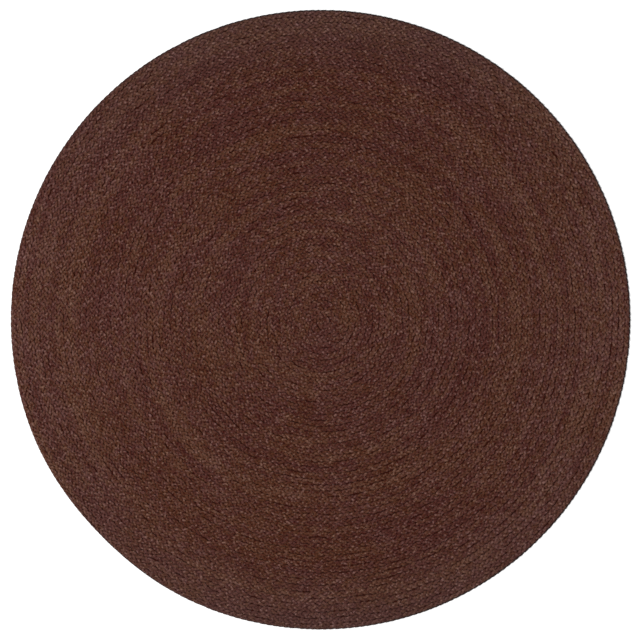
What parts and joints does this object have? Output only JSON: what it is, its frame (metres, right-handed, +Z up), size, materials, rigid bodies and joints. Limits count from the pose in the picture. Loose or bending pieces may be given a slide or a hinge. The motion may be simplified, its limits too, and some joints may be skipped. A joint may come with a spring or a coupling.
{
  "type": "round jute rug",
  "caption": "Flat round floor rug: a flat dark-brown jute braid wound in a spiral from the middle and sewn edge to edge, its end tapered into the rim.",
  "frame": {"origin": "middle of the underside, on the floor", "axes": "+Z up, out of the walked-on face; +X to the right and +Y towards the top of a straight-down view"},
  "size_m": [1.83, 1.83, 0.009],
  "materials": {
    "jute": "matt dyed dark-brown jute yarn, slightly fibrous"
  },
  "bodies": {
    "root": {"braided_rug": "jute"}
  },
  "joints": []
}
